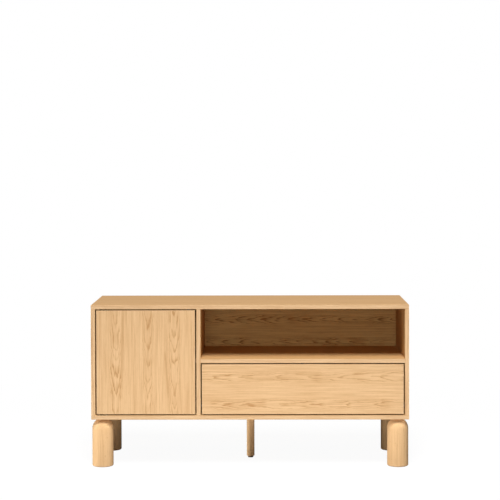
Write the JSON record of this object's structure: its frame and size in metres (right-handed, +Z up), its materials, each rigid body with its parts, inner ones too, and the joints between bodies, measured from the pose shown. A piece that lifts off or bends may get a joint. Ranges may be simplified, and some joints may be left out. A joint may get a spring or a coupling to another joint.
{
  "type": "tv stand with a door and a drawer",
  "caption": "Low oak TV cabinet on round dome-topped legs, with an inset door, an open niche and a wide inset drawer.",
  "frame": {"origin": "on the floor, under the middle of the cabinet", "axes": "+X to the viewer's right along the width, -Y the front with the door and drawer, +Z up"},
  "size_m": [1.2, 0.4, 0.614],
  "materials": {
    "oak_veneer": "light oak veneer, matt lacquer",
    "solid_oak": "solid light oak, matt lacquer",
    "birch_ply": "birch plywood, clear lacquer",
    "plain_steel": "zinc-plated",
    "coated_steel": "powder-coated, satin",
    "nylon": "plain nylon",
    "grey_plastic": "moulded, matt",
    "black_plastic": "moulded, matt"
  },
  "bodies": {
    "carcass": {"top_panel": "oak_veneer", "bottom_panel": "oak_veneer", "left_side_panel": "oak_veneer", "right_side_panel": "oak_veneer", "divider_panel": "oak_veneer", "fixed_shelf": "oak_veneer", "back_panel": "oak_veneer", "carcass_tongues": "birch_ply", "inner_shelf": "oak_veneer", "corner_legs": "solid_oak", "middle_leg": "solid_oak", "leg_bolts": "plain_steel", "hinge_frame_leaves": "plain_steel", "door_latch_housing": "grey_plastic", "drawer_latch_housing": "grey_plastic", "left_runner_rail": "coated_steel", "right_runner_rail": "coated_steel", "front_roller_axles": "plain_steel"},
    "door": {"door_panel": "oak_veneer", "hinge_door_leaves": "plain_steel", "door_strike_plate": "plain_steel"},
    "drawer": {"drawer_front": "oak_veneer", "drawer_left_side": "birch_ply", "drawer_right_side": "birch_ply", "drawer_back": "birch_ply", "drawer_bottom": "birch_ply", "drawer_strike_plate": "plain_steel", "left_runner_slide": "coated_steel", "right_runner_slide": "coated_steel", "rear_roller_axles": "plain_steel"},
    "front_roller_pair": {"front_rollers": "nylon"},
    "rear_roller_pair": {"rear_rollers": "nylon"},
    "door_plunger": {"door_latch_plunger": "grey_plastic"},
    "drawer_plunger": {"drawer_latch_plunger": "grey_plastic"},
    "foot": {"levelling_foot": "black_plastic"}
  },
  "joints": [
    {"name": "door_hinge", "type": "hinge", "parent": "carcass", "child": "door", "pos_m": [-0.5705, -0.192, 0.39725], "axis": [0, 0, -1], "range_deg": [0, 105]},
    {"name": "drawer_slide", "type": "slide", "parent": "carcass", "child": "drawer", "axis": [0, -1, 0], "range_m": [0, 0.27]},
    {"name": "front_roller_spin", "type": "hinge", "parent": "carcass", "child": "front_roller_pair", "pos_m": [0.199, -0.172, 0.2303], "axis": [1, 0, 0], "range_deg": [0, 1934]},
    {"name": "rear_roller_spin", "type": "hinge", "parent": "drawer", "child": "rear_roller_pair", "pos_m": [0.199, 0.156, 0.2303], "axis": [1, 0, 0], "range_deg": [0, 1934]},
    {"name": "door_plunger_press", "type": "slide", "parent": "carcass", "child": "door_plunger", "axis": [0, 1, 0], "range_m": [0, 0.003], "stiffness_N_per_m": 1500},
    {"name": "drawer_plunger_press", "type": "slide", "parent": "carcass", "child": "drawer_plunger", "axis": [0, 1, 0], "range_m": [0, 0.003], "stiffness_N_per_m": 1500},
    {"name": "levelling_foot_turn", "type": "hinge", "parent": "carcass", "child": "foot", "pos_m": [0, 0, 0.003], "axis": [0, 0, 1], "continuous": true}
  ],
  "couplings": [
    {"joint": "front_roller_spin", "follows": "drawer_slide", "rad_per_m": 125},
    {"joint": "rear_roller_spin", "follows": "drawer_slide", "rad_per_m": 125}
  ]
}
